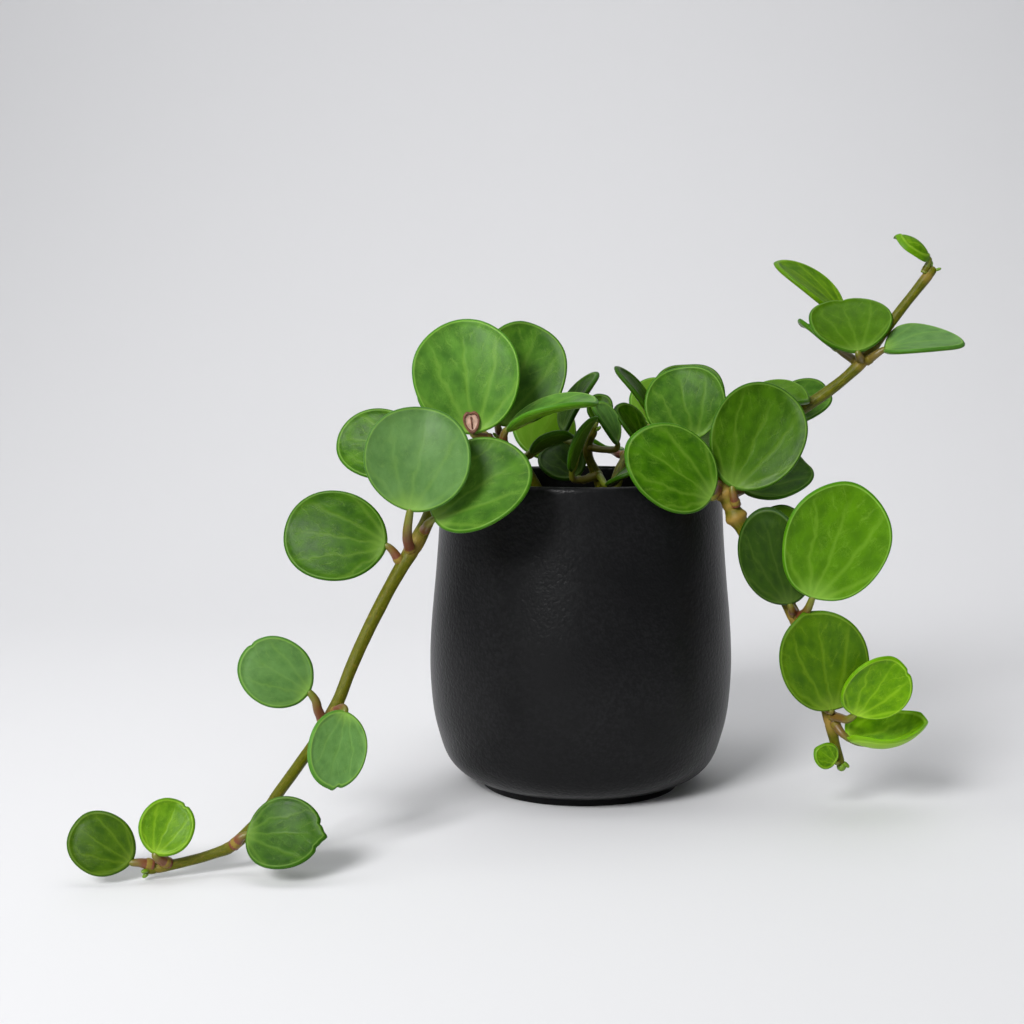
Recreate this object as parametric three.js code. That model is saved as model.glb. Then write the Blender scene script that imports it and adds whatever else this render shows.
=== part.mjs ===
// Peperomia with round leaves, two stems trailing over the rim of a bellied pot.
// Millimetres. The origin is the middle of the pot's foot, on the surface it stands on. +Z is up.
// The side with most leaves faces -Y.
import * as THREE from "three";
import { mergeVertices } from "three/addons/utils/BufferGeometryUtils.js";

const POT_HEIGHT = 109;
const POT_SEGMENTS = 48;
const FIT_GAP = 0.35;
const SOIL_TOP = 97;
const SOIL_DOME = 1.5;

const SECTION_POINTS = 8;
const LEAF_THICKNESS = 1.5;
const LEAF_EDGE_SHARE = 0.55;
const PETIOLE_RADIUS = 1.35;

// Outside of the pot as radius and height, from the foot to the lip.
const POT_OUTSIDE = [
  [34.6, 0], [34.8, 2.2], [38, 3.2], [43.2, 6], [47.4, 11], [50.2, 19], [52, 27], [53, 38],
  [53.1, 48], [52.4, 60], [51.1, 74], [50, 88], [49.4, 100], [49.3, 106.5], [48.9, 108.3],
];
// Inside of the pot, from the lip down to the floor.
const POT_INSIDE = [
  [47.9, POT_HEIGHT], [46.6, 108.6], [46, 107], [46.1, 97], [47.6, 74], [49.5, 48], [48.2, 27],
  [43.2, 12], [36, 7], [28, 6],
];

const FINISH = {
  pot: { color: 0x222325, roughness: 0.62 },
  soil: { color: 0x2b211a, roughness: 0.95 },
  stem: { color: 0x8a9150, roughness: 0.5 },
  leaf: { color: 0x3f7f2b, roughness: 0.38 },
  youngLeaf: { color: 0x6fae35, roughness: 0.38 },
};

// Stems: centre line points, radius at the foot and at the end, and where the swollen nodes sit
// as a share of the length.
const STEMS = {
  left_trailing_stem: {
    line: [
      [-14, -12, 99], [-20, -20, 112], [-32, -33, 121], [-45, -44, 112], [-53, -50, 95],
      [-63, -57, 78], [-73, -67, 58], [-80, -77, 41], [-92, -92, 24], [-105, -104, 9],
      [-118, -109, 5], [-129, -112, 3.4],
    ],
    radii: [2.8, 1.4],
    nodes: [0.16, 0.375, 0.66, 0.885, 0.985],
  },
  right_trailing_stem: {
    line: [
      [22, -12, 99], [31, -22, 113], [38, -29, 115], [45, -34, 109], [50, -35, 98],
      [59, -36, 83], [69, -37, 66], [75, -38, 50], [81, -39, 32], [83, -39, 24], [85, -39, 17],
    ],
    radii: [2.9, 1.6],
    nodes: [0.34, 0.64, 0.9],
  },
  upper_right_stem: {
    line: [
      [24, 8, 99], [38, 4, 110], [58, -2, 122], [80, -5, 135], [95, -5, 147], [107, -5, 163],
      [120, -5, 180],
    ],
    radii: [2.5, 1.6],
    nodes: [0.35, 0.7, 0.98],
  },
  left_short_stem: {
    line: [[-18, 0, 99], [-22, -10, 110], [-26, -19, 118], [-28, -24, 123]],
    radii: [2.6, 1.8],
    nodes: [0.5, 0.95],
  },
  centre_stem: {
    line: [[8, -4, 99], [6, -6, 108], [2, -6, 118], [4, -8, 125]],
    radii: [2.2, 1.2],
    nodes: [0.4, 0.75, 0.97],
  },
  right_short_stem: {
    line: [[24, -2, 99], [28, -6, 108], [34, -8, 116], [37, -7, 121]],
    radii: [2.4, 1.5],
    nodes: [0.55, 0.95],
  },
  back_left_stem: {
    line: [[-14, 16, 99], [-22, 24, 110], [-30, 34, 118], [-36, 42, 122]],
    radii: [2.4, 1.4],
    nodes: [0.55, 0.96],
  },
  back_right_stem: {
    line: [[12, 20, 99], [16, 28, 110], [21, 36, 117], [25, 43, 121]],
    radii: [2.4, 1.4],
    nodes: [0.55, 0.96],
  },
};

// Leaves by stem: [name, share of the stem's length where the stalk starts, base, tip,
// the way the upper face looks, width, cup, arch, young].
// The cup lifts the sides and the arch lifts the middle of the midrib, as shares of the width
// and of the length.
const LEAVES = {
  left_trailing_stem: [
    ["left_tip_leaf", 1, [-134, -114, 6], [-151, -113, 17], [-0.3, -1, 0.5], 18, 0.08, 0.06, 1],
    ["left_tip_upright_leaf", 0.98, [-127, -115, 8.5], [-121, -109, 23], [0.1, -1, 0.3], 16, 0.08, 0.06, 1],
    ["left_floor_leaf", 0.885, [-102, -107, 12], [-79, -112, 13], [0.1, -0.85, 0.6], 22, 0.06, 0.08, 0],
    ["left_hanging_leaf", 0.65, [-75, -84.5, 44], [-80, -96, 23], [0.3, -1, -0.3], 19, 0.06, 0.05, 0],
    ["left_middle_leaf", 0.67, [-86, -82, 49], [-106, -83, 62], [-0.1, -1, 0.3], 21, 0.08, 0.06, 0],
    ["left_side_leaf", 0.405, [-64, -56, 91], [-97, -53, 96], [-0.1, -1, 0.3], 29, 0.08, 0.06, 0],
    ["left_front_leaf", 0.385, [-56, -66, 103], [-49.5, -64, 135.5], [-0.1, -1, 0.4], 33.5, 0.1, 0.06, 0],
    ["left_rear_side_leaf", 0.3, [-52, -43, 118], [-81, -38, 125], [-0.1, -1, 0.35], 24, 0.08, 0.06, 0],
    ["left_rim_leaf", 0.35, [-49, -60, 100], [-19, -61, 119], [0.1, -0.8, 0.6], 30, 0.08, 0.08, 0],
    ["left_top_leaf", 0.165, [-37, -37, 125.5], [-41, -33, 163], [0, -1, 0.25], 35, 0.1, 0.05, 0],
    ["left_inward_leaf", 0.15, [-26, -37, 127], [4, -41, 136], [-0.35, -0.08, 1], 27, 0.1, 0.06, 0],
  ],
  left_short_stem: [
    ["left_top_rear_leaf", 0.96, [-29, -24, 128], [-15, -16, 161], [0.15, -1, 0.3], 31, 0.1, 0.05, 0],
    ["left_lower_inward_leaf", 0.55, [-18, -15, 118], [-3, -17, 124], [-0.3, 0.25, 1], 16, 0.1, 0.04, 0],
  ],
  centre_stem: [
    ["centre_rear_leaf", 0.78, [-6, 2, 124], [6, 6, 145], [-0.8, -0.3, 0.5], 17, 0.1, 0.05, 0],
    ["centre_round_leaf", 0.97, [5, -9, 128], [7, -8, 138], [0.1, -0.8, 0.6], 9, 0.1, 0.05, 0],
    ["centre_folded_leaf", 0.78, [12, -13.5, 121], [3, -16, 135], [0.7, -0.5, 0.5], 12, 0.12, 0.05, 0],
    ["centre_edge_leaf", 0.4, [-4, -20.5, 112], [4, -26, 131], [-0.9, 0.3, 0.4], 13, 0.1, 0.05, 0],
    ["centre_low_leaf", 0.4, [9, -16, 107], [19, -26, 113], [0.2, -0.5, 0.8], 12, 0.1, 0.05, 0],
    ["centre_low_rear_leaf", 0.4, [-1, 3, 108], [-12, 10, 118], [-0.2, -0.5, 0.8], 18, 0.1, 0.05, 0],
  ],
  right_short_stem: [
    ["centre_inner_leaf", 0.5, [21, -7, 120], [12, -6, 134], [0.6, -0.6, 0.5], 13, 0.12, 0.05, 0],
    ["centre_narrow_leaf", 0.93, [26, -5, 126], [11, -6, 147], [0.85, -0.25, 0.5], 15, 0.1, 0.05, 0],
    ["right_front_leaf", 0.85, [38, -13, 122], [32, -9, 147], [-0.1, -1, 0.3], 28, 0.08, 0.06, 0],
    ["right_rear_leaf", 0.9, [38, 2, 124], [38, 12, 148], [-0.1, -1, 0.4], 26, 0.08, 0.06, 0],
  ],
  right_trailing_stem: [
    ["right_rim_leaf", 0.29, [41, -42, 105], [13, -48, 124], [-0.1, -1, 0.4], 27, 0.08, 0.06, 0],
    ["right_upright_leaf", 0.34, [48, -39, 108], [64, -32, 141], [0, -1, 0.2], 31, 0.08, 0.06, 0],
    ["right_rim_rear_leaf", 0.32, [53, -28, 106], [76, -18, 115], [0, -0.8, 0.7], 22, 0.08, 0.06, 0],
    ["right_lower_leaf", 0.63, [67, -43, 70], [57, -45, 102], [-0.5, -1, 0.2], 23, 0.08, 0.06, 0],
    ["right_large_leaf", 0.645, [73, -49, 73], [85, -54, 111], [0.1, -1, 0.2], 34, 0.08, 0.05, 0],
    ["right_hidden_leaf", 0.6, [68, -30, 78], [66, -24, 101], [-0.1, 1, 0.3], 22, 0.08, 0.05, 0],
    ["right_low_leaf", 0.87, [81, -44, 35], [74.5, -46, 68.5], [-0.1, -1, 0.1], 29, 0.08, 0.05, 1],
    ["right_low_young_leaf", 0.89, [87, -51, 35], [98, -59, 55.5], [0.3, -1, 0.2], 22, 0.1, 0.05, 1],
    ["right_low_side_leaf", 0.91, [86, -43.5, 26], [113, -42, 31], [0.05, -0.3, 1], 19, 0.38, -0.2, 1],
    ["right_end_leaf", 1, [83, -42, 17], [76, -44, 22.5], [-0.3, -1, 0.4], 9, 0.12, 0.05, 1],
  ],
  upper_right_stem: [
    ["right_high_leaf", 0.25, [52, -9, 133], [77, -16, 136], [0.1, -0.35, 1], 26, 0.08, 0.06, 0],
    ["right_behind_leaf", 0.4, [67, 6, 128], [89, 14, 139], [0.2, -0.8, 0.6], 16, 0.08, 0.06, 0],
    ["upper_far_leaf", 0.71, [93, 9, 164], [69, 15, 184], [0.5, -0.55, 0.78], 19, 0.08, 0.05, 1],
    ["upper_front_leaf", 0.7, [94, -11, 152], [90, 2, 170], [0, -0.75, 0.65], 29, 0.1, 0.05, 0],
    ["upper_rear_leaf", 0.69, [90, 3, 153], [80, 17, 162], [0.35, -0.2, 0.9], 20, 0.08, 0.05, 0],
    ["upper_side_leaf", 0.71, [103, -10, 153], [129, -17, 155], [-0.2, -0.45, 1], 22, 0.12, 0.05, 0],
    ["upper_curled_leaf", 0.99, [119, -6, 184], [107, -7, 192], [0.6, -0.3, 0.75], 11, -0.3, 0.15, 1],
  ],
  back_left_stem: [
    ["back_left_high_leaf", 1, [-41, 48, 126], [-52, 58, 147], [-0.6, 0.8, 0.5], 27, 0.08, 0.06, 0],
    ["back_left_rim_leaf", 0.85, [-42, 40, 116], [-66, 52, 113], [-0.5, 0.6, 1], 26, 0.08, 0.08, 0],
    ["back_left_inner_leaf", 0.55, [-17, 32, 114], [-6, 42, 134], [0.2, 1, 0.5], 25, 0.08, 0.06, 0],
  ],
  back_right_stem: [
    ["back_right_high_leaf", 1, [28, 49, 124], [37, 58, 141], [0.3, 1, 0.5], 24, 0.08, 0.06, 0],
    ["back_right_rim_leaf", 0.8, [31, 42, 115], [58, 52, 115], [0.3, 0.6, 1], 26, 0.08, 0.08, 0],
    ["back_middle_leaf", 0.6, [13, 42, 115], [0, 62, 115], [0, 0.6, 1], 24, 0.08, 0.08, 0],
  ],
};

function vec(point) {
  return new THREE.Vector3(point[0], point[1], point[2]);
}

// Closes a run of sections (each a ring of points, counter-clockwise about the way the run goes)
// with a point at each end.
function loft(startPoint, sections, endPoint) {
  const ring = sections[0].length;
  const points = [startPoint];
  for (const section of sections) {
    points.push(...section);
  }
  points.push(endPoint);
  const last = points.length - 1;
  const index = [];
  for (let k = 0; k < ring; k++) {
    const next = (k + 1) % ring;
    index.push(0, 1 + next, 1 + k);
    for (let i = 0; i + 1 < sections.length; i++) {
      const a = 1 + i * ring;
      const b = a + ring;
      index.push(a + k, a + next, b + next);
      index.push(a + k, b + next, b + k);
    }
    const top = 1 + (sections.length - 1) * ring;
    index.push(top + k, top + next, last);
  }
  const geometry = new THREE.BufferGeometry();
  const numbers = points.flatMap((point) => point.toArray());
  geometry.setAttribute("position", new THREE.Float32BufferAttribute(numbers, 3));
  geometry.setIndex(index);
  geometry.computeVertexNormals();
  return geometry;
}

// Carries a side direction along a run of tangents without twisting it.
function carryFrames(tangents, firstSide) {
  const frames = [];
  const side = firstSide.clone();
  let before = tangents[0];
  for (const tangent of tangents) {
    side.applyQuaternion(new THREE.Quaternion().setFromUnitVectors(before, tangent));
    side.addScaledVector(tangent, -side.dot(tangent)).normalize();
    frames.push({ side: side.clone(), up: new THREE.Vector3().crossVectors(tangent, side) });
    before = tangent;
  }
  return frames;
}

function circleSection(centre, frame, radius) {
  const section = [];
  for (let k = 0; k < SECTION_POINTS; k++) {
    const angle = (2 * Math.PI * k) / SECTION_POINTS;
    section.push(
      centre.clone()
        .addScaledVector(frame.side, radius * Math.cos(angle))
        .addScaledVector(frame.up, radius * Math.sin(angle)),
    );
  }
  return section;
}

function stemRadius(stem, share) {
  const plain = THREE.MathUtils.lerp(stem.radii[0], stem.radii[1], share);
  let swelling = 0;
  for (const node of stem.nodes) {
    swelling += Math.exp(-(((share - node) / 0.018) ** 2));
  }
  return plain * (1 + 0.16 * Math.min(swelling, 1));
}

function stemCurve(stem) {
  return new THREE.CatmullRomCurve3(stem.line.map(vec), false, "centripetal");
}

function stemShares(stem) {
  const count = stem.line.length * 2;
  const shares = new Set(stem.nodes);
  for (let i = 0; i <= count; i++) {
    const share = i / count;
    if (stem.nodes.every((node) => Math.abs(node - share) > 0.015)) {
      shares.add(share);
    }
  }
  return [...shares].sort((a, b) => a - b);
}

function stemGeometry(stem) {
  const curve = stemCurve(stem);
  const shares = stemShares(stem);
  const tangents = shares.map((share) => curve.getTangentAt(share));
  const across = new THREE.Vector3(0, 0, 1).cross(tangents[0]);
  const side = (across.length() > 0.2 ? across : new THREE.Vector3(1, 0, 0)).normalize();
  const frames = carryFrames(tangents, side);
  const sections = shares.map((share, i) => {
    return circleSection(curve.getPointAt(share), frames[i], stemRadius(stem, share));
  });
  const first = curve.getPointAt(0);
  const end = curve.getPointAt(1).addScaledVector(curve.getTangentAt(1), stem.radii[1]);
  return loft(first, sections, end);
}

// Half the width of a round leaf at a share of its length, as a share of its widest half width.
function outline(share) {
  const across = Math.abs(2 * share ** 1.04 - 1);
  return Math.sqrt(Math.max(0, 1 - across ** 2.1));
}

// One ring of a blade: left edge, three points of the upper face, right edge, three of the lower.
function bladeSection(middle, side, up, halfWidth, thickness, cup) {
  const section = [];
  const places = [1, 0.62, 0, -0.62, -1, -0.62, 0, 0.62];
  for (let k = 0; k < places.length; k++) {
    const place = places[k];
    const lift = cup * halfWidth * place * place;
    const face = k === 0 || k === 4 ? 0 : k < 4 ? 1 : -1;
    const deep = thickness * (place === 0 ? 0.5 : 0.5 * (LEAF_EDGE_SHARE + 0.45));
    section.push(
      middle.clone()
        .addScaledVector(side, place * halfWidth)
        .addScaledVector(up, lift + face * deep),
    );
  }
  return section;
}

function leafGeometry(stem, [, share, baseAt, tipAt, faceAt, width, cup, arch]) {
  const curve = stemCurve(stem);
  const base = vec(baseAt);
  const tip = vec(tipAt);
  const length = base.distanceTo(tip);
  const along = tip.clone().sub(base).normalize();
  const side = new THREE.Vector3().crossVectors(vec(faceAt), along).normalize();
  const up = new THREE.Vector3().crossVectors(along, side);

  const root = curve.getPointAt(share);
  const stemWay = curve.getTangentAt(share);
  const outward = base.clone().sub(root);
  outward.addScaledVector(stemWay, -0.7 * outward.dot(stemWay)).normalize();
  const start = root.clone().addScaledVector(outward, 1.05 * stemRadius(stem, share) + FIT_GAP + 0.15);
  const reach = start.distanceTo(base);
  const stalk = new THREE.CubicBezierCurve3(
    start,
    start.clone().addScaledVector(outward, 0.35 * reach),
    base.clone().addScaledVector(along, -0.35 * reach),
    base,
  );

  const stalkShares = reach > 7 ? [1, 0.66, 0.33, 0] : [1, 0.5, 0];
  const tangents = stalkShares.map((s) => stalk.getTangent(s));
  const frames = carryFrames(tangents, side);
  const stalkRadius = Math.min(PETIOLE_RADIUS, 0.09 * width);
  const sections = stalkShares.map((s, i) => circleSection(stalk.getPoint(s), frames[i], stalkRadius));
  sections.reverse();

  for (const u of [0.06, 0.2, 0.4, 0.6, 0.8, 0.94]) {
    const middle = base.clone()
      .addScaledVector(along, u * length)
      .addScaledVector(up, 4 * arch * length * u * (1 - u));
    const thickness = LEAF_THICKNESS * (u > 0.9 ? 0.75 : 1);
    sections.push(bladeSection(middle, side, up, 0.5 * width * outline(u), thickness, 2 * cup));
  }
  return loft(start, sections, tip);
}

function latheSolid(profile, segments) {
  const geometry = new THREE.LatheGeometry(profile.map(([r, z]) => new THREE.Vector2(r, z)), segments);
  geometry.rotateX(Math.PI / 2);
  geometry.deleteAttribute("normal");
  geometry.deleteAttribute("uv");
  const solid = mergeVertices(geometry, 1e-4);
  return dropFlatTriangles(solid);
}

// A lathe leaves triangles of no area where the profile meets its axis.
function dropFlatTriangles(geometry) {
  const old = geometry.getIndex().array;
  const index = [];
  for (let i = 0; i < old.length; i += 3) {
    const [a, b, c] = [old[i], old[i + 1], old[i + 2]];
    if (a !== b && b !== c && c !== a) {
      index.push(a, b, c);
    }
  }
  geometry.setIndex(index);
  geometry.computeVertexNormals();
  return geometry;
}

function potGeometry() {
  return latheSolid([[0, 0], ...POT_OUTSIDE, ...POT_INSIDE, [0, 6]], POT_SEGMENTS);
}

function soilGeometry() {
  const wall = POT_INSIDE.filter(([r, z]) => r > 30 && z < SOIL_TOP - 5);
  const side = wall.map(([r, z]) => [r - 2 * FIT_GAP, z + FIT_GAP]).reverse();
  const profile = [
    [0, 6 + 2 * FIT_GAP],
    [28, 6 + 2 * FIT_GAP],
    ...side,
    [45.3, SOIL_TOP - SOIL_DOME],
    [30, SOIL_TOP - 0.5 * SOIL_DOME],
    [0, SOIL_TOP],
  ];
  return latheSolid(profile, POT_SEGMENTS);
}

function addMesh(group, name, geometry, finish) {
  const material = new THREE.MeshStandardMaterial({ ...finish, metalness: 0 });
  material.name = `${name}_finish`;
  const mesh = new THREE.Mesh(geometry, material);
  mesh.name = name;
  group.add(mesh);
}

const plant = new THREE.Group();
plant.name = "potted_peperomia";
addMesh(plant, "pot", potGeometry(), FINISH.pot);
addMesh(plant, "soil", soilGeometry(), FINISH.soil);
for (const [name, stem] of Object.entries(STEMS)) {
  addMesh(plant, name, stemGeometry(stem), FINISH.stem);
}
for (const [stemName, leaves] of Object.entries(LEAVES)) {
  for (const leaf of leaves) {
    const finish = leaf[8] ? FINISH.youngLeaf : FINISH.leaf;
    addMesh(plant, leaf[0], leafGeometry(STEMS[stemName], leaf), finish);
  }
}

export default plant;
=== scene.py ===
"""A trailing peperomia in a matte black pot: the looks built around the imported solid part.

Each stem, leaf and the pot is measured from its solid in the frame and rebuilt as a fine mesh in
the same place, then dressed with procedural finishes. Lengths are in metres.
"""

from __future__ import annotations

import logging
import math
import random
from dataclasses import dataclass, field
from enum import Enum
from typing import Callable, Iterable, Sequence, Union

import bmesh
import bpy
import numpy as np
from mathutils import Matrix, Vector, noise

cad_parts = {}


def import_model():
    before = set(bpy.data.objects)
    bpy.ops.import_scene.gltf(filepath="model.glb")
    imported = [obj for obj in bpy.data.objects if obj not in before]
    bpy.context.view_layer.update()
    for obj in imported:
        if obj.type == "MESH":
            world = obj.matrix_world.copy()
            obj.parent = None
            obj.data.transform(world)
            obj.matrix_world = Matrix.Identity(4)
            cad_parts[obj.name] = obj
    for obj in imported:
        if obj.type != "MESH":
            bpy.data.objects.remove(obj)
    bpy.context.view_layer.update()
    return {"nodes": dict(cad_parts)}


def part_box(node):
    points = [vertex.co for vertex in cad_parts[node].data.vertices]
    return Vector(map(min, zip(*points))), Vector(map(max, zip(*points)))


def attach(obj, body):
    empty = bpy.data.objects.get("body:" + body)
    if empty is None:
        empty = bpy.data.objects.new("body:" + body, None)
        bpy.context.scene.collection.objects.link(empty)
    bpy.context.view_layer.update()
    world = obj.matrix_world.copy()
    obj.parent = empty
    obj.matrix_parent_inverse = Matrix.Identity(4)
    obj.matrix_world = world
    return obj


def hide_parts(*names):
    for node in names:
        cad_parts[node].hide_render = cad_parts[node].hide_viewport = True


log = logging.getLogger("peperomia")

MM = 0.001
WELD = 2e-6
FULL_TURN = 6.28  # radians, for random phases

Colour = tuple[float, float, float, float]
Socket = bpy.types.NodeSocket
Piece = bpy.types.Object
Skin = bpy.types.Material
Value = Union[float, Socket]


class Side(Enum):
    """Which face of a blade a point is on."""

    UPPER = 0.0
    LOWER = 1.0


class Slot(Enum):
    """The material slots of the record."""

    POT = "pot"
    SOIL = "soil"
    STEM = "stem"
    LEAF = "leaf"
    YOUNG_LEAF = "young_leaf"


def srgb(red: int, green: int, blue: int) -> Colour:
    """A colour from its 0 to 255 screen values, as the linear values a shader takes."""

    def linear(level: int) -> float:
        """The linear value of one screen value."""
        share = level / 255
        return share / 12.92 if share <= 0.04045 else ((share + 0.055) / 1.055) ** 2.4

    return (linear(red), linear(green), linear(blue), 1.0)


# ---------------------------------------------------------------------------------------------
# Measuring the solids of the frame
# ---------------------------------------------------------------------------------------------


@dataclass(frozen=True)
class Rings:
    """The sections of a lofted or turned solid, in order from one end point to the other."""

    first: np.ndarray
    sections: list[np.ndarray]
    last: np.ndarray

    @classmethod
    def of(cls, node: Piece) -> "Rings":
        """Reads the sections of a CAD node by walking its mesh from one end point.

        Args:
            node: a CAD node whose mesh is a run of closed sections with a point at each end.

        Returns:
            The sections, each an array of points in order round the ring.
        """
        mesh = bmesh.new()
        mesh.from_mesh(node.data)
        bmesh.ops.remove_doubles(mesh, verts=mesh.verts, dist=WELD)
        ends = sorted(mesh.verts, key=lambda v: len(v.link_edges), reverse=True)[:2]
        ends.sort(key=lambda v: max((e.calc_length() for e in v.link_edges)))
        seen = {ends[0]}
        sections = []
        front = {e.other_vert(ends[0]) for e in ends[0].link_edges}
        while len(front) > 1:
            sections.append(cls._in_order(front))
            seen |= front
            front = {e.other_vert(v) for v in front for e in v.link_edges} - seen
        first = np.array(ends[0].co)
        last = np.array(ends[1].co)
        mesh.free()
        return cls(first, sections, last)

    @staticmethod
    def _in_order(ring: set) -> np.ndarray:
        """The points of a ring, in the order its edges join them."""
        here = min(ring, key=lambda v: v.index)
        order = [here]
        left = set(ring) - {here}
        while left:
            near = [e.other_vert(here) for e in here.link_edges if e.other_vert(here) in left]
            here = min(near, key=lambda v: v.index)
            order.append(here)
            left.discard(here)
        return np.array([v.co[:] for v in order])


def unit(vector: np.ndarray) -> np.ndarray:
    """The vector scaled to length one."""
    return vector / max(float(np.linalg.norm(vector)), 1e-12)


def smooth_curve(points: np.ndarray, per_span: int) -> np.ndarray:
    """Points of a smooth curve that passes through all the given ones.

    Args:
        points: an array of shape (n, k): positions, or any values to carry along.
        per_span: how many steps to make between two given points.

    Returns:
        The curve's points, the ends included.
    """
    padded = np.vstack([2 * points[0] - points[1], points, 2 * points[-1] - points[-2]])
    steps = np.linspace(0, 1, per_span, endpoint=False)[:, None]
    out = []
    for i in range(1, len(padded) - 2):
        before, here, there, after = padded[i - 1 : i + 3]
        out.append(
            0.5
            * (
                2 * here
                + (there - before) * steps
                + (2 * before - 5 * here + 4 * there - after) * steps**2
                + (3 * here - before - 3 * there + after) * steps**3
            )
        )
    out.append(points[-1:])
    return np.vstack(out)


# ---------------------------------------------------------------------------------------------
# Mesh building
# ---------------------------------------------------------------------------------------------


@dataclass
class MeshParts:
    """Vertices, faces and per-vertex values that grow into one mesh."""

    points: list = field(default_factory=list)
    faces: list = field(default_factory=list)
    finish: list = field(default_factory=list)
    values: dict = field(default_factory=dict)

    def add(self, points: np.ndarray, faces: Iterable, finish: int = 0, **values: np.ndarray) -> None:
        """Adds a patch of mesh.

        Args:
            points: the patch's vertices.
            faces: tuples of vertex numbers, counted within the patch.
            finish: the index of the material its faces take.
            **values: an array of shape (n, 3) for each named vertex value.
        """
        start = len(self.points)
        self.points.extend(np.asarray(points).tolist())
        for face in faces:
            self.faces.append(tuple(start + i for i in face))
            self.finish.append(finish)
        for name, value in values.items():
            stored = self.values.setdefault(name, [])
            stored.extend([[0.0, 0.0, 0.0]] * (start - len(stored)))
            stored.extend(np.asarray(value).tolist())

    def build(self, name: str, materials: Sequence[Skin]) -> Piece:
        """Makes the object, smooth shaded, with its materials and vertex values."""
        mesh = bpy.data.meshes.new(name)
        mesh.from_pydata(self.points, [], self.faces)
        mesh.polygons.foreach_set("material_index", self.finish)
        mesh.polygons.foreach_set("use_smooth", [True] * len(self.faces))
        for key, value in self.values.items():
            value = value + [[0.0, 0.0, 0.0]] * (len(self.points) - len(value))
            stored = mesh.attributes.new(key, "FLOAT_VECTOR", "POINT")
            stored.data.foreach_set("vector", np.array(value, dtype=np.float32).ravel())
        for material in materials:
            mesh.materials.append(material)
        mesh.update()
        shape = bmesh.new()
        shape.from_mesh(mesh)
        bmesh.ops.recalc_face_normals(shape, faces=shape.faces)
        shape.to_mesh(mesh)
        shape.free()
        piece = bpy.data.objects.new(name, mesh)
        bpy.context.scene.collection.objects.link(piece)
        return piece


def grid_faces(rows: int, columns: int, closed: bool, flip: bool = False) -> list[tuple]:
    """Quads of a grid of points stored row by row.

    Args:
        rows: the number of rows.
        columns: the number of points in a row.
        closed: whether each row's last point joins its first.
        flip: whether the faces turn the other way.

    Returns:
        The faces as tuples of four vertex numbers.
    """
    faces = []
    last = columns if closed else columns - 1
    for row in range(rows - 1):
        for column in range(last):
            a = row * columns + column
            b = row * columns + (column + 1) % columns
            face = (a, b, b + columns, a + columns)
            faces.append(face[::-1] if flip else face)
    return faces


def turns_round(count: int) -> np.ndarray:
    """Angles spaced evenly once round."""
    return np.linspace(0, 2 * math.pi, count, endpoint=False)


def closed_body(rows: Sequence, first: Sequence, last: Sequence) -> tuple[np.ndarray, list[tuple]]:
    """A closed body of rings with a point at each end.

    Args:
        rows: the rings, each with the same number of points.
        first: the point that closes the first ring.
        last: the point that closes the last ring.

    Returns:
        The vertices, the end points last, and the faces.
    """
    around = len(rows[0])
    points = np.vstack([*rows, [first], [last]])
    faces = grid_faces(len(rows), around, closed=True)
    low, high = len(points) - 2, len(points) - 1
    start = (len(rows) - 1) * around
    for k in range(around):
        after = (k + 1) % around
        faces.append((low, after, k))
        faces.append((high, start + k, start + after))
    return points, faces


def tube(centres: np.ndarray, radii: np.ndarray, around: int) -> tuple[np.ndarray, list[tuple]]:
    """A closed tube along a curve, without twist.

    Args:
        centres: the curve's points.
        radii: the radius at each point, or at each point and angle.
        around: how many points go round.

    Returns:
        The vertices and the faces.
    """
    tangents = np.gradient(centres, axis=0)
    tangents /= np.linalg.norm(tangents, axis=1, keepdims=True)
    side = unit(np.cross(tangents[0], [0.3, 0.9, 0.2]))
    radii = np.broadcast_to(np.asarray(radii).reshape(len(centres), -1), (len(centres), around))
    angles = turns_round(around)
    rows = []
    for i, (centre, tangent) in enumerate(zip(centres, tangents)):
        side = unit(side - tangent * np.dot(side, tangent))
        up = np.cross(tangent, side)
        ring = np.outer(np.cos(angles) * radii[i], side) + np.outer(np.sin(angles) * radii[i], up)
        rows.append(centre + ring)
    return closed_body(rows, centres[0], centres[-1])


def blob(centre: np.ndarray, axes: np.ndarray, detail: int = 12) -> tuple[np.ndarray, list[tuple]]:
    """A closed rounded body.

    Args:
        centre: its middle.
        axes: three half axes, as the rows of a matrix; the first is its long one.
        detail: how many points go round it.

    Returns:
        The vertices and the faces.
    """
    turns = np.linspace(0, math.pi, detail)[1:-1]
    angles = turns_round(detail)
    rows = []
    for turn in turns:
        ring = [
            math.cos(turn) * axes[0]
            + math.sin(turn) * (math.cos(angle) * axes[1] + math.sin(angle) * axes[2])
            for angle in angles
        ]
        rows.append(np.array(ring))
    points, faces = closed_body(rows, axes[0], -axes[0])
    return points + centre, faces


# ---------------------------------------------------------------------------------------------
# Shaders
# ---------------------------------------------------------------------------------------------


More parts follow.
